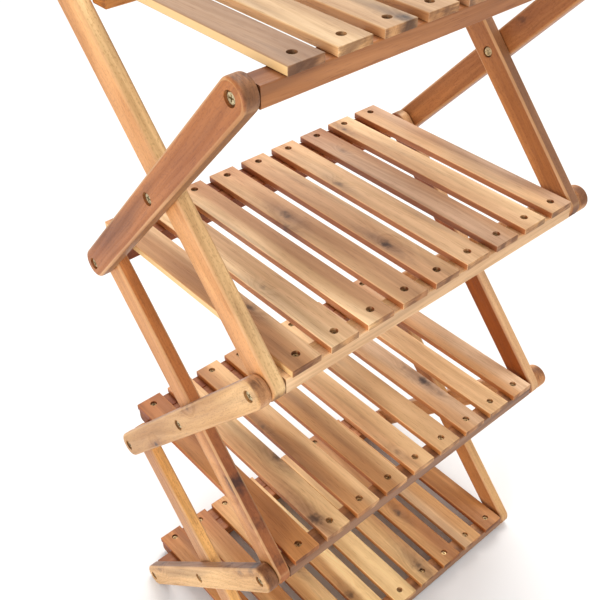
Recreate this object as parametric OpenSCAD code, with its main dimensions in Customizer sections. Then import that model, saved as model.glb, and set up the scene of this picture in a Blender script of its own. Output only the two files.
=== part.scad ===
// Folding slatted shelf: shelves of screwed slats on scissor legs.
// Tier 1 is the top shelf. Pair 1 of legs joins tiers 1 and 2, and so on down.
// Each shelf turns on its front rail and rests on a rear rail of the leg frame. The lower
// shelves' battens drop behind their rear rails and keep the legs from spreading. The top
// shelf's batten lies in front of its rear rail and keeps the frame from folding up.

/* [Shelves] */
// Number of shelves
shelf_count = 4; // [2:1:4]
// Height from one shelf to the next when the frame is open
tier_h = 353; // [320:1:370]
// Number of slats in each shelf
slat_count = 9; // [5:1:9]
// Distance between the middles of neighbouring slats
slat_pitch = 58; // [54:1:62]
// Slat width
slat_w = 43; // [38:1:46]
// Slat thickness
slat_t = 10; // [9:0.5:12]
// Slat length from front to back
slat_l = 387; // [386:1:400]
// Radius on the slat edges
slat_edge_r = 1.5; // [1:0.5:3]

/* [Rails] */
// Depth of the front rails, rear rails and battens
rail_w = 28; // [26:1:29]
// Height of the front rails, rear rails and battens
rail_h = 22.5; // [20:0.5:26]
// Radius on the rail edges
rail_edge_r = 2; // [1:0.5:3]
// Radius on the lower edges of the battens
batten_edge_r = 7; // [3:0.5:9]
// Gap between the end slats and the rail ends
rail_overhang = 6.9; // [6.5:0.1:12]
// Gap between the top shelf's batten and its rear rail
top_batten_gap = 18; // [14:1:30]

/* [Legs] */
// Front-to-back distance between the pivots when the frame is open
pivot_depth = 321; // [300:1:330]
// Leg width
leg_w = 38; // [34:1:40]
// Leg thickness
leg_t = 19.5; // [18:0.5:22]
// Radius on the long edges of the legs
leg_edge_r = 4; // [2:0.5:6]

/* [Fasteners] */
// Bolt diameter
bolt_d = 6; // [5:0.5:7]
// Bolt head diameter
head_d = 14; // [12:0.5:15]
// Bolt head height
head_h = 3; // [2:0.5:3.5]
// Diameter of the sunk hole around a bolt head
sink_d = 16; // [15.5:0.5:18]
// Depth of the sunk hole around a bolt head
sink_depth = 5; // [4:0.5:6]
// Screw shank diameter
screw_d = 3.6; // [3:0.1:4]
// Screw head diameter
screw_head_d = 8.4; // [7:0.1:8.6]
// Diameter of the sunk hole around a screw head
screw_sink_d = 10.5; // [9.2:0.1:11.5]
// Depth of the sunk hole around a screw head
screw_sink_depth = 5; // [3:0.5:5.5]

/* [Hidden] */
TIERS = [1:shelf_count];
PAIRS = [1:shelf_count - 1];
SIDES = ["left", "right"];

$fn = 48;
cut = 1;                    // overshoot of a cut past a face
washer_gap = 0.8;           // space that a washer fills between two pieces
washer_t = 0.7;             // washer thickness
washer_d = 15;              // washer outer diameter
run_gap = 0.05;             // radial clearance of a leg on its bolt
open_gap = 0.3;             // radial clearance at the two pivots that close the linkage
seat_gap = 0.02;            // radial clearance of a bolt or screw in the piece that holds it
rail_set_off = 2.5;         // rails sit this far outside their pivots
pivot_forward = 13;         // the pivots' middle lies this far in front of the slats' middle
batten_gap = 0.3;           // slack between a batten and its rear rail
batten_inset = 2;           // lower battens' ends lie this far inside the end slats
top_batten_out = 6;         // the top batten's ends lie this far outside the end slats
screw_l = 23;               // screw length under the head
screw_head_h = 1.8;         // screw head height
screw_tip_l = 4;            // length of a screw's point
bolt_reach = 24;            // bolt length inside a short rail
recess_w = 1.6;             // width of the cross recess in a bolt head
recess_l = 7;               // length of the cross recess in a bolt head
recess_depth = 1.6;         // depth of the cross recess in a bolt head
screw_recess = 0.55;        // size of a screw's cross recess against a bolt's
nut_h = 3.5;                // thickness of a cross nut

lean = atan2(pivot_depth, tier_h);                         // leg angle from upright
leg_span = sqrt(pivot_depth * pivot_depth + tier_h * tier_h);
front_y = -pivot_depth / 2 - pivot_forward;
rear_y = pivot_depth / 2 - pivot_forward;
rear_rail_y = rear_y + rail_set_off;

slat_edge_x = (slat_count - 1) / 2 * slat_pitch + slat_w / 2;
rail_end_x = slat_edge_x + rail_overhang;                  // short rails stop at the inner legs
inner_x0 = rail_end_x + washer_gap;                        // inner face of the inner legs
inner_x1 = inner_x0 + leg_t;
long_end_x = inner_x1;                                     // long rails stop at the outer legs
outer_x0 = inner_x1 + washer_gap;                          // inner face of the outer legs
outer_x1 = outer_x0 + leg_t;
bolt_tip_x = rail_end_x - bolt_reach;

function pivot_z(k) = leg_w / 2 + (shelf_count - k) * tier_h;
function slat_bottom_z(k) = pivot_z(k) + rail_h / 2;
function slat_top_z(k) = slat_bottom_z(k) + slat_t;
function slat_x(i) = (i - (slat_count + 1) / 2) * slat_pitch;
function rail_end(long) = long ? long_end_x : rail_end_x;
function batten_y(k) = rear_rail_y + (k == 1 ? -rail_w - top_batten_gap : rail_w + batten_gap);
function batten_end(k) = slat_edge_x + (k == 1 ? top_batten_out : -batten_inset);

// ---- shared shapes ----

// Rectangle about the origin with round corners: rt at the top, rb at the bottom
module round_rect(w, h, rt, rb) {
    union() {
        translate([-w / 2 + rt, -h / 2 + rb]) square([w - 2 * rt, h - rt - rb]);
        translate([-w / 2, -h / 2 + rb]) square([w, h - rt - rb]);
        translate([-w / 2 + rt, h / 2 - rt]) square([w - 2 * rt, rt]);
        translate([-w / 2 + rb, -h / 2]) square([w - 2 * rb, rb]);
        for (s = [-1, 1]) {
            translate([s * (w / 2 - rt), h / 2 - rt]) circle(r = rt);
            translate([s * (w / 2 - rb), -h / 2 + rb]) circle(r = rb);
        }
    }
}

// Bar along X, centred, with a profile in Y and Z
module x_bar(l, w, h, rt, rb) {
    translate([-l / 2, 0, 0]) rotate([90, 0, 90]) linear_extrude(l) round_rect(w, h, rt, rb);
}

// Cylinder along +X from x0 to x1 through (y, z)
module x_rod(x0, x1, y, z, r) {
    translate([x0, y, z]) rotate([0, 90, 0]) cylinder(r = r, h = x1 - x0);
}

// The same child on the left and on the right
module both_sides() {
    children();
    mirror([1, 0, 0]) children();
}

// Cross-shaped recess, cut downward from z = 0
module cross_recess(scale_by) {
    l = recess_l * scale_by;
    w = recess_w * scale_by;
    d = recess_depth * scale_by;
    translate([-l / 2, -w / 2, -d]) cube([l, w, d + cut]);
    translate([-w / 2, -l / 2, -d]) cube([w, l, d + cut]);
}

// ---- shelf pieces ----

// One slat of tier k, lying along Y, centred, with its sunk screw holes
module slat(k) {
    difference() {
        intersection() {
            rotate([90, 0, 0]) translate([0, 0, -slat_l / 2])
                linear_extrude(slat_l) round_rect(slat_w, slat_t, slat_edge_r, slat_edge_r);
            x_bar(slat_w, slat_l, slat_t, slat_edge_r, slat_edge_r);
            translate([0, 0, -slat_t / 2])
                linear_extrude(slat_t) round_rect(slat_w, slat_l, slat_edge_r, slat_edge_r);
        }
        for (y = [front_y, batten_y(k)]) {
            translate([0, y, -slat_t / 2 - cut]) cylinder(d = screw_d + 0.6, h = slat_t + 2 * cut);
            translate([0, y, slat_t / 2 - screw_sink_depth])
                cylinder(d = screw_sink_d, h = screw_sink_depth + cut);
        }
    }
}

module slats(k) {
    color("burlywood")
        for (i = [1:slat_count])
            translate([slat_x(i), 0, slat_bottom_z(k) + slat_t / 2]) slat(k);
}

// Pilot holes for one row of slat screws
module pilot_row(k, y) {
    for (i = [1:slat_count])
        translate([slat_x(i), y, slat_top_z(k) - screw_sink_depth - screw_l - cut])
            cylinder(r = screw_d / 2 + seat_gap, h = screw_l + screw_sink_depth);
}

// Holes for the pivot bolts in both ends of a rail
module bolt_holes(k, y, end_x) {
    both_sides() x_rod(bolt_tip_x - cut, end_x + cut, y, pivot_z(k), bolt_d / 2 + seat_gap);
}

// Front rail: the slats are screwed to it and it turns on its end bolts
module front_rail(k) {
    end_x = rail_end(k == 1);
    color("tan") difference() {
        translate([0, front_y - rail_set_off, pivot_z(k)])
            x_bar(2 * end_x, rail_w, rail_h, rail_edge_r, rail_edge_r);
        pilot_row(k, front_y);
        bolt_holes(k, front_y, end_x);
    }
}

// Batten under the slats, near their rear ends
module batten(k) {
    low_r = k == 1 ? rail_edge_r : batten_edge_r;
    color("peru") difference() {
        translate([0, batten_y(k), pivot_z(k)])
            x_bar(2 * batten_end(k), rail_w, rail_h, rail_edge_r, low_r);
        pilot_row(k, batten_y(k));
    }
}

module screw() {
    difference() {
        cylinder(d = screw_head_d, h = screw_head_h);
        translate([0, 0, screw_head_h]) cross_recess(screw_recess);
    }
    translate([0, 0, -screw_l + screw_tip_l]) cylinder(d = screw_d, h = screw_l - screw_tip_l);
    translate([0, 0, -screw_l]) cylinder(d1 = 1, d2 = screw_d, h = screw_tip_l);
}

module screws(k) {
    color("darkkhaki")
        for (i = [1:slat_count], y = [front_y, batten_y(k)])
            translate([slat_x(i), y, slat_top_z(k) - screw_sink_depth]) screw();
}

// ---- frame pieces ----

// Rear rail: carries the rear ends of the slats
module rear_rail(k) {
    end_x = rail_end(k == shelf_count);
    color("sienna") difference() {
        translate([0, rear_rail_y, pivot_z(k)])
            x_bar(2 * end_x, rail_w, rail_h, rail_edge_r, rail_edge_r);
        bolt_holes(k, rear_y, end_x);
    }
}

// Half of a leg's round end, about the X axis, on the side of negative Y
module leg_end() {
    rotate([0, 90, 0]) rotate([0, 0, 180])
        rotate_extrude(angle = 180) intersection() {
            round_rect(leg_w, leg_t, leg_edge_r, leg_edge_r);
            translate([0, -leg_t]) square([leg_w, 2 * leg_t]);
        }
}

// Plain leg along +Y from its first pivot at the origin, centred in X
module leg_blank() {
    union() {
        rotate([-90, 0, 0]) linear_extrude(leg_span)
            round_rect(leg_t, leg_w, leg_edge_r, leg_edge_r);
        leg_end();
        translate([0, leg_span, 0]) mirror([0, 1, 0]) leg_end();
    }
}

// Bolt hole through a leg, at a distance along it
module leg_hole(along, gap) {
    x_rod(-leg_t, leg_t, along, 0, bolt_d / 2 + gap);
}

// Sunk hole in a leg's face: face is 1 for the outer face and -1 for the inner one
module leg_sink(along, face) {
    x = face * (leg_t / 2 - sink_depth / 2 + cut / 2);
    x_rod(x - (sink_depth + cut) / 2, x + (sink_depth + cut) / 2, along, 0, sink_d / 2);
}

// Outer leg: front end of the upper shelf down to the rear end of the lower one
module outer_leg(k, side) {
    color("peachpuff") mirror([side == "left" ? 1 : 0, 0, 0])
        translate([(outer_x0 + outer_x1) / 2, front_y, pivot_z(k)]) rotate([lean - 90, 0, 0])
            difference() {
                leg_blank();
                for (along = [0, leg_span / 2, leg_span]) {
                    leg_hole(along, run_gap);
                    leg_sink(along, 1);
                }
            }
}

// Inner leg: front end of the lower shelf up to the rear end of the upper one
module inner_leg(k, side) {
    lowest = k == shelf_count - 1;
    color("wheat") mirror([side == "left" ? 1 : 0, 0, 0])
        translate([(inner_x0 + inner_x1) / 2, front_y, pivot_z(k + 1)]) rotate([90 - lean, 0, 0])
            difference() {
                leg_blank();
                leg_hole(0, lowest ? run_gap : open_gap);
                leg_hole(leg_span / 2, run_gap);
                leg_hole(leg_span, run_gap);
                leg_sink(leg_span / 2, -1);
                if (lowest) leg_sink(0, 1);
                if (k == 1) leg_sink(leg_span, 1);
            }
}

// ---- fasteners ----

// Bolt along -X: its head's bearing face is at the origin
module bolt(l) {
    rotate([0, 90, 0]) {
        difference() {
            rotate_extrude() polygon([
                [0, 0], [head_d / 2, 0], [head_d / 2, head_h * 0.6],
                [head_d / 2 - 1.5, head_h], [0, head_h]
            ]);
            translate([0, 0, head_h]) cross_recess(1);
        }
        translate([0, 0, -l]) cylinder(d = bolt_d, h = l);
    }
}

// Pair of pivot bolts: outside says that their heads sit in the outer legs
module pivot_bolts(k, y, outside) {
    head_x = (outside ? outer_x1 : inner_x1) - sink_depth;
    color("goldenrod") both_sides()
        translate([head_x, y, pivot_z(k)]) bolt(head_x - bolt_tip_x);
}

module front_bolts(k) { pivot_bolts(k, front_y, k < shelf_count); }
module rear_bolts(k) { pivot_bolts(k, rear_y, k > 1); }

module cross_bolts(k) {
    head_x = outer_x1 - sink_depth;
    nut_x = inner_x0 + sink_depth;
    color("goldenrod") both_sides()
        translate([head_x, (front_y + rear_y) / 2, (pivot_z(k) + pivot_z(k + 1)) / 2])
            bolt(head_x - nut_x + nut_h - 0.5);
}

module cross_nuts(k) {
    nut_x = inner_x0 + sink_depth;
    color("gold") both_sides()
        translate([nut_x, (front_y + rear_y) / 2, (pivot_z(k) + pivot_z(k + 1)) / 2])
            rotate([0, -90, 0]) difference() {
                rotate_extrude() polygon([
                    [0, 0], [head_d / 2, 0], [head_d / 2, nut_h - 1],
                    [head_d / 2 - 1, nut_h], [0, nut_h]
                ]);
                translate([0, 0, -cut]) cylinder(r = bolt_d / 2 + seat_gap, h = nut_h + 2 * cut);
            }
}

// Washer in the gap that starts at x
module washer(x, y, z) {
    x_mid = x + washer_gap / 2;
    difference() {
        x_rod(x_mid - washer_t / 2, x_mid + washer_t / 2, y, z, washer_d / 2);
        x_rod(x_mid - washer_t, x_mid + washer_t, y, z, bolt_d / 2 + seat_gap);
    }
}

// Washers of one pivot: between the legs, and between the inner leg and the rail
module pivot_washers(k, y, at_outer, at_inner) {
    color("lightgrey") both_sides() {
        if (at_outer) washer(inner_x1, y, pivot_z(k));
        if (at_inner) washer(rail_end_x, y, pivot_z(k));
    }
}

module front_washers(k) { pivot_washers(k, front_y, k < shelf_count, k > 1); }
module rear_washers(k) { pivot_washers(k, rear_y, k > 1, k < shelf_count); }

module cross_washers(k) {
    color("lightgrey") both_sides()
        washer(inner_x1, (front_y + rear_y) / 2, (pivot_z(k) + pivot_z(k + 1)) / 2);
}

// ---- every node, drawn alone or together ----

for (k = TIERS) {
    slats(k);
    front_rail(k);
    batten(k);
    screws(k);
    rear_rail(k);
    front_bolts(k);
    rear_bolts(k);
    front_washers(k);
    rear_washers(k);
}
for (k = PAIRS) {
    for (s = SIDES) {
        outer_leg(k, s);
        inner_leg(k, s);
    }
    cross_bolts(k);
    cross_nuts(k);
    cross_washers(k);
}
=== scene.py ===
import math

import bpy
from mathutils import Matrix, Vector


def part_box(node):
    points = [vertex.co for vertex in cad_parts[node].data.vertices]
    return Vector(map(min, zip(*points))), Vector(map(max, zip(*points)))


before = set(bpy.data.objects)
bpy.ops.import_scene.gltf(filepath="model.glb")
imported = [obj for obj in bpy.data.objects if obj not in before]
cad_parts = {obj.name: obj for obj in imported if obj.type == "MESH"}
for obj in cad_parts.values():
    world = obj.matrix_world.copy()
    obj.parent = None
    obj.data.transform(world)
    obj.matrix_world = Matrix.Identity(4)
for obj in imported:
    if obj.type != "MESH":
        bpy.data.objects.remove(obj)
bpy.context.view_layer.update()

# ---------------------------------------------------------------- camera
# It looks down at the left front corner of the rack from close by. Angles are in degrees,
# the place in metres and the lens in millimetres.
CAMERA_AZIMUTH = -40.83
CAMERA_ELEVATION = 39.42
CAMERA_ROLL = -0.47
CAMERA_PLACE = Vector((-0.6991, -0.7221, 1.4158))
CAMERA_LENS = 53.0
SENSOR_WIDTH = 36.0

# ---------------------------------------------------------------- counts in the frame
TIERS = (1, 2, 3, 4)
PAIRS = (1, 2, 3)
SIDES = ("left", "right")
SLATS_PER_TIER = 9
SLAT_WIDTH = 0.043
RAIL_WIDTH = 0.028

# ---------------------------------------------------------------- colour
DISPLAY_GAMMA = 2.2
WOOD_GAIN = 0.97
GLOSS_LIFT = 0.018      # the white light that the oiled surface adds to every tone
PLAIN = (1.0, 1.0, 1.0)

# ---------------------------------------------------------------- wood tones
# Each tone is a colour as it looks on the lit wood, in steps of 1/255.
TONES = {
    "ash": (200, 162, 132),
    "taupe": (186, 148, 118),
    "tan": (203, 157, 118),
    "straw": (220, 178, 136),
    "cream": (236, 198, 154),
    "brown": (196, 146, 103),
    "cocoa": (180, 124, 80),
    "amber": (251, 199, 127),
    "wheat": (208, 168, 119),
    "reed": (228, 192, 141),
    "butter": (244, 204, 146),
    "bare_and_lit": (224, 176, 126),
    "russet": (193, 128, 78),
    "gold": (214, 158, 104),
    "copper": (203, 148, 97),
    "honey": (204, 142, 80),
    "olive": (218, 178, 126),
    "umber": (154, 114, 84),
    "chestnut": (165, 106, 63),
    "mahogany": (148, 84, 46),
}

# The look of every slat, from the left, top shelf first. In "tan<cream" the board is tan
# with a band of cream sapwood along its left side, and in "tan>cream" along its right side.
SLAT_LOOKS = {
    1: "taupe cream straw>cream straw ash tan>cream brown straw tan",
    2: "brown>straw straw<cream tan<cream tan<straw tan>straw straw ash>tan cream<straw "
       "straw>ash",
    3: "cocoa cream<tan brown>straw brown>straw straw<tan straw ash<tan straw ash<brown",
    4: "cocoa>chestnut cocoa<brown brown>straw cream<brown cream straw>tan brown>cocoa "
       "ash>brown cocoa",
}
FRONT_RAIL_LOOKS = {1: "cocoa>chestnut", 2: "cream>reed", 3: "umber>brown", 4: "umber>brown"}
# The battens and rear rails are seen through the slots between the slats. Below the top shelf
# their dark tones are painted shade for those slots.
BATTEN_SHADED_LOOKS = {1: "honey", 2: "mahogany", 3: "mahogany>chestnut", 4: "chestnut"}
REAR_RAIL_SHADED_LOOKS = {1: "brown", 2: "mahogany>chestnut", 3: "chestnut", 4: "russet>chestnut"}
# Legs are given as left then right. The second tone shows on a leg's left face.
OUTER_LEG_LOOKS = {1: "umber>chestnut cocoa", 2: "tan>wheat brown", 3: "umber>wheat brown"}
INNER_LEG_LOOKS = {1: "reed>gold umber>cocoa", 2: "russet>copper cream>mahogany",
                   3: "amber>brown olive>cocoa"}

# Tints multiply a colour, as painted light and shade. The light falls a little differently on
# each shelf, so its boards are tinted to match, and their narrow sides in the gaps get painted
# shade.
GAP_SHADE_TINTS = {1: (1.08, 0.90, 0.74), 2: (0.60, 0.33, 0.19), 3: (0.78, 0.52, 0.30),
             4: (0.70, 0.44, 0.26)}
SHELF_LIGHT_TINTS = {1: (0.77, 0.81, 0.82), 2: (1.11, 1.20, 1.27), 3: (1.18, 1.28, 1.26),
               4: (1.17, 1.29, 1.18)}
PALE_LIT_SIDED = (1, 2)     # shelves whose outermost sides are pale sapwood with painted light

# Knots as (number of the slat, distance behind the middle, offset to the right, radius,
# strength).
SLAT_KNOTS = {
    1: ((3, -0.186, 0.012, 0.010, 0.9), (6, 0.040, -0.006, 0.008, 0.8),
        (8, 0.110, 0.008, 0.007, 0.9)),
    2: ((4, 0.043, -0.003, 0.008, 0.7), (4, 0.022, -0.021, 0.006, 0.6),
        (5, -0.093, -0.009, 0.008, 1.0), (6, 0.053, -0.012, 0.007, 0.6),
        (7, 0.118, -0.002, 0.005, 0.4), (2, -0.058, -0.012, 0.006, 0.35),
        (8, 0.163, -0.014, 0.005, 0.8), (1, -0.076, 0.011, 0.007, 0.8)),
    3: ((7, -0.072, 0.012, 0.009, 1.0), (7, -0.108, 0.011, 0.006, 0.3),
        (7, -0.030, 0.012, 0.006, 0.25), (2, -0.160, -0.015, 0.011, 0.9),
        (2, -0.037, 0.018, 0.009, 0.8), (3, 0.024, -0.018, 0.006, 0.5),
        (5, -0.150, -0.014, 0.005, 0.4), (8, 0.090, 0.004, 0.006, 0.6)),
    4: ((7, -0.058, 0.000, 0.007, 0.8), (6, -0.161, 0.003, 0.011, 0.9),
        (4, -0.124, -0.014, 0.009, 0.8), (8, 0.020, -0.008, 0.007, 0.6),
        (3, -0.020, 0.008, 0.008, 0.6), (9, 0.060, 0.006, 0.006, 0.7)),
}
# Knots in the legs as (distance up from the middle, offset across, radius, strength).
LEG_KNOTS = {
    "inner_leg_2_left": ((-0.104, -0.020, 0.015, 1.0), (-0.165, -0.022, 0.008, 0.7),
                         (-0.225, -0.022, 0.007, 0.6)),
    "outer_leg_2_left": ((-0.120, -0.014, 0.006, 0.9), (0.060, 0.017, 0.006, 0.8)),
    "outer_leg_3_left": ((0.185, 0.014, 0.008, 0.6), (-0.185, 0.016, 0.008, 0.6),
                         (0.228, 0.020, 0.011, 0.8), (0.135, 0.023, 0.007, 0.6)),
    "outer_leg_1_right": ((0.060, 0.010, 0.008, 0.6),),
    "inner_leg_3_right": ((0.090, -0.008, 0.009, 0.6),),
    "outer_leg_2_right": ((-0.040, 0.006, 0.009, 0.6),),
}

# ---------------------------------------------------------------- grain
# Each noise as (waves per metre along the board, waves per metre across it, detail,
# roughness).
BEND = (2.4, 11.0, 1.0, 0.4)
WOBBLE = (14.0, 75.0, 1.0, 0.5)
FIBRE = (14.0, 380.0, 2.0, 0.6)
PATCH = (3.0, 45.0, 1.0, 0.5)
# Each pattern is a noise with two more values: where it starts and where it is full.
STREAK = (1.6, 30.0, 2.0, 0.55, 0.32, 0.70)
SLOW = (5.5, 14.0, 1.0, 0.5, 0.30, 0.70)
SMOKE = (4.0, 34.0, 2.0, 0.5, 0.52, 0.74)
PORES = (45.0, 1000.0, 1.0, 0.5, 0.60, 0.72)
FLECKS = (260.0, 560.0, 1.0, 0.5, 0.54, 0.68)

# Each board is cut from its own part of the noise, moved by up to this far, in metres.
BOARD_SHIFT = 7.0               # along the board and through it
SIDE_SHIFT = 3.0                # across it
SECOND_DRAW = 0.37              # added to a board's seed for its second random number
LAYER_TILTS = (0.20, 1.30)      # the least and the most tilt of the growth layers, in radians
BEND_SIZE = 0.060               # how far the layers bend, in metres
WOBBLE_SIZE = 0.0030
RINGS_PER_METRE = 130.0
SAPWOOD_WAVE = 1.5              # how far the sapwood's edge wanders, in half widths

KNOT_LENGTH = 1.3               # a knot's length, where its width is 1
KNOT_BEND = 0.014               # how far the layers bend at a knot, in metres
KNOT_BEND_REACH = 3.6           # and how far from it, in knot radii
KNOT_CORE_REACH = 1.15
KNOT_TRAIL_RANGE = (2.1, 0.1)
TRAIL_SQUEEZE = 0.3             # a knot's smoky trail is longer than the knot by its inverse
BLOTS_PER_METRE = 110.0         # the blots make the outline of the knots ragged
BLOT_SIZE = 1.9
TRAIL_BLOT = 0.5

SPECKS_ACROSS = 70.0            # the fine layers seen in the end grain, per metre
SPECKS_THROUGH = 480.0
SPECK_SHARE = 0.6

# Each range is where something starts and where it is full.
RING_RANGE = (0.34, 0.68)
FIBRE_RANGE = (0.3, 0.7)
SAPWOOD_RANGE = (-0.25, 0.60)
LEG_SAPWOOD_RANGE = (0.60, 0.97)
DIRT_RANGE = (0.62, 0.98)
# These go by how squarely the surface faces one way, which is 1 where it faces it fully.
ROUND_EDGE_RANGE = (0.998, 0.93)
OFF_END_RANGE = (0.5, 0.2)
END_ON_RANGE = (0.45, 0.85)
SIDE_ON_RANGE = (0.8, 1.0)
FACE_ON_RANGE = (0.85, 0.98)

# Each pair tints the colour where its noise is low and where it is high.
STREAK_TINTS = ((0.80, 0.71, 0.63), (1.14, 1.13, 1.12))
RING_TINTS = ((1.05, 1.05, 1.05), (0.90, 0.86, 0.81))
SLOW_TINTS = ((0.86, 0.79, 0.72), (1.08, 1.09, 1.10))
FIBRE_TINTS = ((0.95, 0.94, 0.92), (1.03, 1.03, 1.03))
SMOKE_TINTS = (PLAIN, (0.70, 0.68, 0.68))
PORE_TINTS = (PLAIN, (0.78, 0.72, 0.66))
FLECK_TINTS = ((1.05, 1.05, 1.05), (0.88, 0.83, 0.76))
SOAK_TINTS = ((0.90, 0.80, 0.64), (0.42, 0.34, 0.27))

BOARD_SMOKE = (0.52, 0.48, 0.49)
LEG_SMOKE = (0.58, 0.46, 0.38)
KNOT_CORE = (0.20, 0.18, 0.21)
# The next two colour the lightened edges and rims: wear, and a painted highlight along them.
LIT_WORN_EDGE = (1.16, 1.14, 1.08)
LIT_RIM_RINGS = (0.90, 0.86, 0.80)
PALE_STREAKS = (0.90, 0.87, 0.82)
RED_END = (0.84, 0.70, 0.64)

EVEN_WEAR_AND_HIGHLIGHT = 0.4                 # the lightening that every edge has, as wear and painted highlight
PATCHY_WEAR_AND_HIGHLIGHT = 0.5               # and the most that some places have on top of it
LEG_WEAR_AND_HIGHLIGHT = 0.75
LEG_RIM_WEAR_AND_HIGHLIGHT = 0.6
LEG_BAND_DEPTH = 0.0095         # from a leg's middle to its left or right face
LEG_RIM = (0.014725, 0.018525)  # where a leg's lightened rim, worn and with painted highlight, starts and is full, off its middle
RED_END_LENGTH = 0.11
RED_END_SPREAD = 0.07           # how much later the redness starts on some boards
OUTER_SIDES = (4.2, 4.3)        # the outermost sides, in slat spacings off the middle

WOOD_ROUGHNESS = (0.44, 0.54)   # between the rings and on them
END_ROUGHNESS = 0.15            # what the end grain adds
FIBRE_HEIGHT = 0.6
PORE_HEIGHT = 0.5
RING_HEIGHT = 0.25
WOOD_BUMP = 0.0004              # the depth of the bumps, in metres
METAL_BUMP = 0.00005
BUMP_STRENGTH = 0.5

# ---------------------------------------------------------------- metal, light and floor
# Each metal as (clean colour, tarnished colour, roughness).
BRASS = ((0.70, 0.58, 0.35), (0.36, 0.28, 0.16), 0.36)
# The screws' metal is darkened as painted shade, for the shade in the sunk holes around their
# heads.
SCREW_METAL_SHADED = ((0.40, 0.27, 0.13), (0.10, 0.06, 0.035), 0.30)
GREY_STEEL = ((0.55, 0.52, 0.46), (0.30, 0.27, 0.22), 0.42)
TARNISH_RANGE = (0.38, 0.66)
TARNISH_PER_METRE = 420.0
SCRATCHES_PER_METRE = 2600.0

WORLD_STRENGTH = 0.86
LIGHT_TARGET = (0.0, 0.0, 0.6)
# Each light as (name, place, diameter, watts, colour).
LIGHTS = (
    ("key", (1.6, 1.4, 5.0), 2.6, 150.0, (1.0, 0.99, 0.97)),
    ("fill", (-3.6, -1.4, 1.6), 2.2, 70.0, (1.0, 1.0, 1.0)),
)

FLOOR_REACH = 30.0
FLOOR_PAINTS = ((0.820, 0.815, 0.810), (0.855, 0.850, 0.845))
FLOOR_CLOUDS_PER_METRE = 1.3
FLOOR_ROUGHNESS = 0.7

ALONG_X, ALONG_Y = (1.0, 0.0, 0.0), (0.0, 1.0, 0.0)


class Graph:
    """One material's node tree, with short calls that add nodes and link them."""

    def __init__(self, name):
        self.material = bpy.data.materials.new(name)
        self.material.use_nodes = True
        self.tree = self.material.node_tree
        self.tree.nodes.clear()

    def add(self, kind, **settings):
        node = self.tree.nodes.new(kind)
        for key, value in settings.items():
            setattr(node, key, value)
        return node

    def feed(self, socket, value):
        if isinstance(value, bpy.types.NodeSocket):
            self.tree.links.new(value, socket)
        else:
            socket.default_value = value

    def feed_all(self, node, values):
        for socket, value in zip(node.inputs, values):
            self.feed(socket, value)
        return node.outputs

    def math(self, operation, *values):
        return self.feed_all(self.add("ShaderNodeMath", operation=operation), values)[0]

    def vector(self, operation, *values):
        outputs = self.feed_all(self.add("ShaderNodeVectorMath", operation=operation), values)
        return outputs["Value" if operation in ("DOT_PRODUCT", "LENGTH") else "Vector"]

    def combine(self, x, y, z):
        return self.feed_all(self.add("ShaderNodeCombineXYZ"), (x, y, z))[0]

    def first_part(self, vector):
        return self.feed_all(self.add("ShaderNodeSeparateXYZ"), (vector,))[0]

    def noise(self, place, detail=2.0, roughness=0.5, socket="Vector", **settings):
        node = self.add("ShaderNodeTexNoise", **settings)
        self.feed(node.inputs[socket], place)
        node.inputs["Scale"].default_value = 1.0
        node.inputs["Detail"].default_value = detail
        node.inputs["Roughness"].default_value = roughness
        return node.outputs["Fac"]

    def even_noise(self, place, waves, detail=2.0, roughness=0.5):
        """Noise with the same number of waves per metre each way."""
        return self.noise(self.vector("MULTIPLY", place, (waves,) * 3), detail, roughness)

    def random(self, value):
        node = self.add("ShaderNodeTexWhiteNoise", noise_dimensions="1D")
        self.feed(node.inputs["W"], value)
        return node.outputs["Value"]

    def smooth(self, value, low, high, to_low=0.0, to_high=1.0):
        node = self.add("ShaderNodeMapRange", interpolation_type="SMOOTHSTEP")
        return self.feed_all(node, (value, low, high, to_low, to_high))[0]

    def mix(self, factor, first, second, blend="MIX"):
        node = self.add("ShaderNodeMix", data_type="RGBA", blend_type=blend)
        self.feed(node.inputs[0], factor)
        for socket, colour in ((node.inputs[6], first), (node.inputs[7], second)):
            if not isinstance(colour, bpy.types.NodeSocket):
                colour = (*colour, 1.0)
            self.feed(socket, colour)
        return node.outputs[2]

    def tint(self, colour, factor, low, high):
        """The colour multiplied by one between low and high."""
        return self.mix(1.0, colour, self.mix(factor, low, high), "MULTIPLY")

    def steps(self, factor, colours):
        """A constant ramp: one flat colour for each equal step of the factor."""
        node = self.add("ShaderNodeValToRGB")
        ramp = node.color_ramp
        ramp.interpolation = "CONSTANT"
        for number, colour in enumerate(colours):
            place = number / len(colours)
            if number < 2:
                stop = ramp.elements[number]
                stop.position = place
            else:
                stop = ramp.elements.new(place)
            stop.color = (*colour, 1.0)
        return self.feed_all(node, (factor,))[0]

    def finish(self, colour, roughness, height=None, metallic=0.0, depth=0.0):
        shader = self.add("ShaderNodeBsdfPrincipled")
        self.feed(shader.inputs["Base Color"], colour)
        self.feed(shader.inputs["Roughness"], roughness)
        shader.inputs["Metallic"].default_value = metallic
        if height is not None:
            bump = self.add("ShaderNodeBump")
            bump.inputs["Strength"].default_value = BUMP_STRENGTH
            bump.inputs["Distance"].default_value = depth
            self.feed(bump.inputs["Height"], height)
            self.feed(shader.inputs["Normal"], bump.outputs[0])
        self.feed_all(self.add("ShaderNodeOutputMaterial"), (shader.outputs[0],))
        return self.material


def centre(node):
    low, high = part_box(node)
    return (low + high) / 2


def seen(tone):
    """The linear colour of a tone."""
    return tuple(WOOD_GAIN * (part / 255.0) ** DISPLAY_GAMMA - GLOSS_LIFT
                 for part in TONES[tone])


def board_look(word, shade):
    """(heartwood colour, sapwood colour, side of the sapwood) of one board's word."""
    heart, sap, side = word, word, 0.5
    for mark, place in (("<", 0.0), (">", 1.0)):
        if mark in word:
            heart, sap = word.split(mark)
            side = place
    heart, sap = (tuple(part * dim for part, dim in zip(seen(tone), shade))
                  for tone in (heart, sap))
    return heart, sap, side


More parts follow.
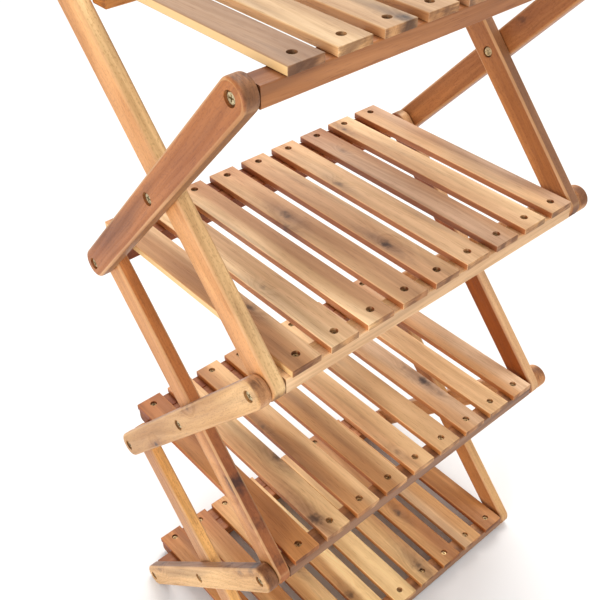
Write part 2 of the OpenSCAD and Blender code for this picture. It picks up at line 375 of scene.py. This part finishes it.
class Wood(Graph):
    """Solid wood, as in the rails and battens. Grain and across are unit directions along
    the board and across its width, and the third way is through it. Where one node holds
    several boards, pitch is their spacing across."""

    half_width = RAIL_WIDTH / 2
    knot_smoke = BOARD_SMOKE

    def __init__(self, name, node, grain, across, seed, pitch=0.0):
        super().__init__(name)
        coords = self.add("ShaderNodeTexCoord")
        self.place = self.vector("SUBTRACT", coords.outputs["Object"], tuple(centre(node)))
        ways = [tuple(way) for way in (grain, across, Vector(grain).cross(Vector(across)))]
        self.along, self.whole_side, self.deep = (
            self.vector("DOT_PRODUCT", self.place, way) for way in ways)
        # how squarely the surface faces each way
        self.end_on, self.side_on, self.face_on = (
            self.math("ABSOLUTE", self.vector("DOT_PRODUCT", coords.outputs["Normal"], way))
            for way in ways)
        self.pitch, self.side, board = pitch, self.whole_side, float(seed)
        if pitch:
            self.row = self.math("ROUND", self.math("DIVIDE", self.whole_side, pitch))
            self.side = self.math("SUBTRACT", self.whole_side,
                                  self.math("MULTIPLY", self.row, pitch))
            board = self.math("ADD", self.row, float(seed))
        self.shift = self.math("MULTIPLY", self.random(board), BOARD_SHIFT)
        self.chance = self.random(self.math("ADD", board, SECOND_DRAW))
        self.spot = (self.math("ADD", self.along, self.shift),
                     self.math("ADD", self.side,
                               self.math("MULTIPLY", self.chance, SIDE_SHIFT)),
                     self.math("ADD", self.deep, self.shift))

    def grain_noise(self, noise):
        along_waves, side_waves, detail, roughness = noise
        waves = (along_waves, side_waves, side_waves)
        place = self.combine(*(self.math("MULTIPLY", part, wave)
                               for part, wave in zip(self.spot, waves)))
        return self.noise(place, detail, roughness)

    def pattern(self, pattern):
        """A noise in the grain, spread from 0 where it starts to 1 where it is full."""
        *noise, start, full = pattern
        return self.smooth(self.grain_noise(noise), start, full)

    def board_tones(self, looks, shade):
        """(heartwood, sapwood, side of the sapwood from -1 to 1), with one word of looks for
        each board."""
        hearts, saps, sides = zip(*(board_look(word, shade) for word in looks.split()))
        if not self.pitch:
            return hearts[0], saps[0], 2.0 * sides[0] - 1.0
        count = float(len(hearts))
        step = self.math("DIVIDE", self.math("ADD", self.row, count / 2), count)
        side = self.first_part(self.steps(step, [(value,) * 3 for value in sides]))
        return (self.steps(step, hearts), self.steps(step, saps),
                self.math("MULTIPLY_ADD", side, 2.0, -1.0))

    def growth_layers(self):
        """(place in the growth layers, their long bend). The layers are nearly flat sheets,
        tilted differently in each board and bent by noise."""
        tilt = self.smooth(self.chance, 0.0, 1.0, *LAYER_TILTS)
        layer = self.math(
            "ADD",
            self.math("MULTIPLY", self.side, self.math("COSINE", tilt)),
            self.math("MULTIPLY", self.deep, self.math("SINE", tilt)),
        )
        bend, wobble = self.grain_noise(BEND), self.grain_noise(WOBBLE)
        layer = self.math("ADD", layer, self.math("MULTIPLY", bend, BEND_SIZE))
        return self.math("ADD", layer, self.math("MULTIPLY", wobble, WOBBLE_SIZE)), bend

    def bend_round(self, knots, layer):
        """(the layers bent around the knots, the knots' smoky trails, their dark cores)."""
        smoky, core = 0.0, 0.0
        blot = self.even_noise(self.place, BLOTS_PER_METRE)
        blot = self.math("MULTIPLY_ADD", blot, BLOT_SIZE, -BLOT_SIZE / 2)
        for along, side, size, strength in knots:
            away_along = self.math("DIVIDE", self.math("SUBTRACT", self.along, along),
                                   size * KNOT_LENGTH)
            away_side = self.math("DIVIDE", self.math("SUBTRACT", self.whole_side, side), size)
            reach = self.vector("LENGTH", self.combine(away_along, away_side, 0.0))
            bend = self.smooth(reach, KNOT_BEND_REACH, 0.0, 0.0, KNOT_BEND)
            layer = self.math("ADD", layer, bend)
            squeezed = self.math("MULTIPLY", away_along, TRAIL_SQUEEZE)
            trail = self.vector("LENGTH", self.combine(squeezed, away_side, 0.0))
            trail = self.math("MULTIPLY_ADD", blot, TRAIL_BLOT, trail)
            reach = self.math("ADD", reach, blot)
            trail = self.smooth(trail, *KNOT_TRAIL_RANGE, 0.0, strength)
            reach = self.smooth(reach, KNOT_CORE_REACH, 0.0, 0.0, strength)
            smoky = self.math("MAXIMUM", smoky, trail)
            core = self.math("MAXIMUM", core, reach)
        return layer, smoky, core

    def sapwood(self, sap_side, bend):
        """How much of each point is sapwood: a band along one side, with a wavy edge."""
        band = self.math("MULTIPLY", self.math("DIVIDE", self.side, self.half_width), sap_side)
        wave = self.math("MULTIPLY_ADD", bend, SAPWOOD_WAVE, -SAPWOOD_WAVE / 2)
        return self.smooth(self.math("ADD", band, wave), *SAPWOOD_RANGE)

    def fleck(self, colour):
        """The colour with the marks that only some pieces have."""
        return colour

    def edge_wear_and_highlight(self):
        """How much each point is lightened, by handling and a painted highlight: the rounded
        edges, more in some places.
        """
        flattest = self.math("MAXIMUM", self.end_on,
                             self.math("MAXIMUM", self.side_on, self.face_on))
        worn_and_lit = self.math("MULTIPLY", self.smooth(flattest, *ROUND_EDGE_RANGE),
                         self.smooth(self.end_on, *OFF_END_RANGE))
        amount = self.math("MULTIPLY_ADD", self.slow, PATCHY_WEAR_AND_HIGHLIGHT, EVEN_WEAR_AND_HIGHLIGHT)
        return self.math("MULTIPLY", worn_and_lit, amount)

    def wear_and_painted_light(self, colour):
        """The colour with its rounded edges lightened by handling and a painted highlight."""
        return self.tint(colour, self.edge_wear_and_highlight(), PLAIN, LIT_WORN_EDGE)

    def end_grain(self, shade):
        """(how much each point is end grain, its tint). It soaks up more oil and dirt."""
        along, side, deep = self.spot
        speck = self.noise(self.combine(along, self.math("MULTIPLY", side, SPECKS_ACROSS),
                                        self.math("MULTIPLY", deep, SPECKS_THROUGH)))
        dirt = self.math("MULTIPLY_ADD", speck, SPECK_SHARE, self.grain_noise(PATCH))
        soak = self.mix(self.smooth(dirt, *DIRT_RANGE), *SOAK_TINTS)
        # End faces don't take the shelf's painted light tint, so it is divided out here.
        soak = self.mix(1.0, soak, tuple(1.0 / part for part in shade), "MULTIPLY")
        return self.smooth(self.end_on, *END_ON_RANGE), soak

    def make(self, looks, knots=(), shade=PLAIN):
        """The finished material. A knot is (along, across, radius, strength)."""
        heart, sap, sap_side = self.board_tones(looks, shade)
        layer, bend = self.growth_layers()
        if knots:
            layer, smoky, core = self.bend_round(knots, layer)
        rings = self.noise(self.math("MULTIPLY_ADD", layer, RINGS_PER_METRE, self.shift),
                           3.0, 0.55, socket="W", noise_dimensions="1D")
        self.rings = self.smooth(rings, *RING_RANGE)
        self.streak, self.slow = self.pattern(STREAK), self.pattern(SLOW)
        fibre, pores = self.grain_noise(FIBRE), self.pattern(PORES)

        colour = self.mix(self.sapwood(sap_side, bend), heart, sap)
        for factor, tints in (
            (self.streak, STREAK_TINTS),
            (self.rings, RING_TINTS),
            (self.slow, SLOW_TINTS),
            (self.smooth(fibre, *FIBRE_RANGE), FIBRE_TINTS),
            (self.pattern(SMOKE), SMOKE_TINTS),
            (pores, PORE_TINTS),
        ):
            colour = self.tint(colour, factor, *tints)
        colour = self.fleck(colour)
        if knots:
            colour = self.tint(colour, smoky, PLAIN, self.knot_smoke)
            colour = self.tint(colour, core, PLAIN, KNOT_CORE)
        ends, soak = self.end_grain(shade)
        colour = self.tint(self.wear_and_painted_light(colour), ends, PLAIN, soak)

        rough = self.math("ADD", self.smooth(self.rings, 0.0, 1.0, *WOOD_ROUGHNESS),
                          self.math("MULTIPLY", ends, END_ROUGHNESS))
        height = self.math("SUBTRACT", self.math("MULTIPLY", fibre, FIBRE_HEIGHT),
                           self.math("MULTIPLY", pores, PORE_HEIGHT))
        height = self.math("MULTIPLY_ADD", self.rings, -RING_HEIGHT, height)
        return self.finish(colour, rough, height, depth=WOOD_BUMP)


class LegWood(Wood):
    """A leg's wood: the second tone is one of its faces, and its edges are lightened to a pale
    rubbed tone, with a painted highlight.
    """

    knot_smoke = LEG_SMOKE

    def sapwood(self, sap_side, bend):
        band = self.math("MULTIPLY", self.math("DIVIDE", self.deep, LEG_BAND_DEPTH), sap_side)
        return self.smooth(band, *LEG_SAPWOOD_RANGE)

    def fleck(self, colour):
        return self.tint(colour, self.pattern(FLECKS), *FLECK_TINTS)

    def wear_and_painted_light(self, colour):
        # The rims and rounded edges go to a pale tone, as wear and painted highlight.
        bare_and_lit = self.tint(seen("bare_and_lit"), self.rings, PLAIN, LIT_RIM_RINGS)
        rim = self.math("MULTIPLY", self.smooth(self.math("ABSOLUTE", self.side), *LEG_RIM),
                        self.smooth(self.face_on, *FACE_ON_RANGE, 0.0, LEG_RIM_WEAR_AND_HIGHLIGHT))
        worn_and_lit = self.math("MAXIMUM", self.edge_wear_and_highlight(), self.math("MULTIPLY", rim, self.streak))
        return self.mix(self.math("MULTIPLY", worn_and_lit, LEG_WEAR_AND_HIGHLIGHT), colour, bare_and_lit)


class SlatWood(Wood):
    """The wood of one shelf's slats."""

    half_width = SLAT_WIDTH / 2

    def __init__(self, tier, pitch, rear_end):
        super().__init__(f"slat_wood_{tier}", f"slats_{tier}", ALONG_Y, ALONG_X, 20.0 * tier,
                         pitch)
        self.tier, self.rear_end = tier, rear_end

    def wear_and_painted_light(self, colour):
        """Also the narrow sides, deep brown with painted shade in the gaps and on some shelves
        pale on the outside, as sapwood with painted light, and the rear ends, redder on some
        boards than on others."""
        colour = super().wear_and_painted_light(colour)
        # The narrow sides get painted shade in the gaps between the slats.
        narrow = self.smooth(self.side_on, *SIDE_ON_RANGE)
        gap_shade = GAP_SHADE_TINTS[self.tier]
        if self.tier in PALE_LIT_SIDED:
            start, full = (spacings * self.pitch for spacings in OUTER_SIDES)
            outside = self.smooth(self.math("ABSOLUTE", self.whole_side), start, full)
            gap_shade = self.mix(outside, gap_shade, PLAIN)
        colour = self.tint(colour, narrow, PLAIN, gap_shade)
        # The outermost sides are painted pale, as sapwood with painted light.
        if self.tier in PALE_LIT_SIDED:
            pale = self.tint(seen("butter"), self.streak, PALE_STREAKS, PLAIN)
            colour = self.mix(self.math("MULTIPLY", narrow, outside), colour, pale)
        rear = self.math("MULTIPLY_ADD", self.chance, -RED_END_SPREAD, self.along)
        rear = self.smooth(rear, self.rear_end - RED_END_LENGTH, self.rear_end)
        return self.tint(colour, rear, PLAIN, RED_END)


def metal(name, clean, tarnished, roughness):
    """Plated steel with a little tarnish."""
    graph = Graph(name)
    place = graph.add("ShaderNodeTexCoord").outputs["Object"]
    cloud = graph.even_noise(place, TARNISH_PER_METRE, 3.0, 0.6)
    scratches = graph.even_noise(place, SCRATCHES_PER_METRE, 1.0)
    colour = graph.mix(graph.smooth(cloud, *TARNISH_RANGE), clean, tarnished)
    rough = graph.smooth(cloud, 0.3, 0.7, roughness - 0.08, roughness + 0.14)
    return graph.finish(colour, rough, scratches, metallic=1.0, depth=METAL_BUMP)


def dress(node, material):
    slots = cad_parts[node].data.materials
    slots.clear()
    slots.append(material)


def seed_of(name):
    """A seed from the letters of a name, the same on every run."""
    return sum(ord(letter) * (place + 3) for place, letter in enumerate(name)) * 0.173


def dress_slats():
    low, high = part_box("slats_1")
    pitch = (high.x - low.x - SLAT_WIDTH) / (SLATS_PER_TIER - 1)
    middle_slat = (SLATS_PER_TIER + 1) / 2
    for tier in TIERS:
        knots = [(back, (number - middle_slat) * pitch + right, size, strength)
                 for number, back, right, size, strength in SLAT_KNOTS[tier]]
        wood = SlatWood(tier, pitch, high.y)
        dress(f"slats_{tier}", wood.make(SLAT_LOOKS[tier], knots, SHELF_LIGHT_TINTS[tier]))


def dress_rails():
    for stem, looks in (("front_rail", FRONT_RAIL_LOOKS), ("batten", BATTEN_SHADED_LOOKS),
                        ("rear_rail", REAR_RAIL_SHADED_LOOKS)):
        for tier in TIERS:
            node = f"{stem}_{tier}"
            wood = Wood(f"{node}_wood", node, ALONG_X, ALONG_Y, seed_of(node))
            dress(node, wood.make(looks[tier]))


def dress_legs():
    for pair in PAIRS:
        for stem, looks, top, bottom in (
            ("outer_leg", OUTER_LEG_LOOKS, f"front_bolts_{pair}", f"rear_bolts_{pair + 1}"),
            ("inner_leg", INNER_LEG_LOOKS, f"rear_bolts_{pair}", f"front_bolts_{pair + 1}"),
        ):
            line = centre(top) - centre(bottom)
            grain = Vector((0.0, line.y, line.z)).normalized()
            across = Vector((0.0, grain.z, -grain.y))
            for side, look in zip(SIDES, looks[pair].split()):
                node = f"{stem}_{pair}_{side}"
                wood = LegWood(f"{node}_wood", node, grain, across, seed_of(node))
                dress(node, wood.make(look, LEG_KNOTS.get(node, ())))


def dress_metal():
    brass = metal("bolt_brass", *BRASS)
    shaded_screw_metal = metal("screw_steel", *SCREW_METAL_SHADED)
    grey_steel = metal("washer_steel", *GREY_STEEL)
    for tier in TIERS:
        dress(f"screws_{tier}", shaded_screw_metal)
        for stem in ("front", "rear"):
            dress(f"{stem}_bolts_{tier}", brass)
            dress(f"{stem}_washers_{tier}", grey_steel)
    for pair in PAIRS:
        dress(f"cross_bolts_{pair}", brass)
        dress(f"cross_nuts_{pair}", brass)
        dress(f"cross_washers_{pair}", grey_steel)


def new_object(name, data):
    thing = bpy.data.objects.new(name, data)
    bpy.context.scene.collection.objects.link(thing)
    return thing


def make_floor():
    mesh = bpy.data.meshes.new("floor")
    corners = [(x * FLOOR_REACH, y * FLOOR_REACH, 0.0)
               for x, y in ((-1, -1), (1, -1), (1, 1), (-1, 1))]
    mesh.from_pydata(corners, [], [(0, 1, 2, 3)])
    graph = Graph("floor_paint")
    place = graph.add("ShaderNodeTexCoord").outputs["Object"]
    paint = graph.mix(graph.even_noise(place, FLOOR_CLOUDS_PER_METRE), *FLOOR_PAINTS)
    mesh.materials.append(graph.finish(paint, FLOOR_ROUGHNESS))
    new_object("floor", mesh)


def make_light():
    scene = bpy.context.scene
    scene.view_settings.view_transform = "Standard"
    world = bpy.data.worlds.new("studio")
    world.use_nodes = True
    scene.world = world
    back = world.node_tree.nodes["Background"]
    back.inputs["Color"].default_value = (1.0, 1.0, 1.0, 1.0)
    back.inputs["Strength"].default_value = WORLD_STRENGTH
    for name, place, diameter, watts, colour in LIGHTS:
        lamp = bpy.data.lights.new(name, "AREA")
        lamp.shape = "DISK"
        lamp.size = diameter
        lamp.energy = watts
        lamp.color = colour
        thing = new_object(name, lamp)
        thing.location = place
        aim = Vector(LIGHT_TARGET) - Vector(place)
        thing.rotation_euler = aim.to_track_quat("-Z", "Y").to_euler()


def make_camera():
    lens = bpy.data.cameras.new("camera")
    lens.lens = CAMERA_LENS
    lens.sensor_width = SENSOR_WIDTH
    camera = new_object("camera", lens)
    azimuth, elevation = math.radians(CAMERA_AZIMUTH), math.radians(CAMERA_ELEVATION)
    back = Vector((math.sin(azimuth) * math.cos(elevation),
                   -math.cos(azimuth) * math.cos(elevation), math.sin(elevation)))
    right = Vector((0.0, 0.0, 1.0)).cross(back).normalized()
    up = back.cross(right)
    turn = Matrix((right, up, back)).transposed() @ Matrix.Rotation(
        math.radians(CAMERA_ROLL), 3, "Z")
    camera.rotation_euler = turn.to_euler()
    camera.location = CAMERA_PLACE
    bpy.context.scene.camera = camera


make_camera()
make_light()
make_floor()
dress_slats()
dress_rails()
dress_legs()
dress_metal()
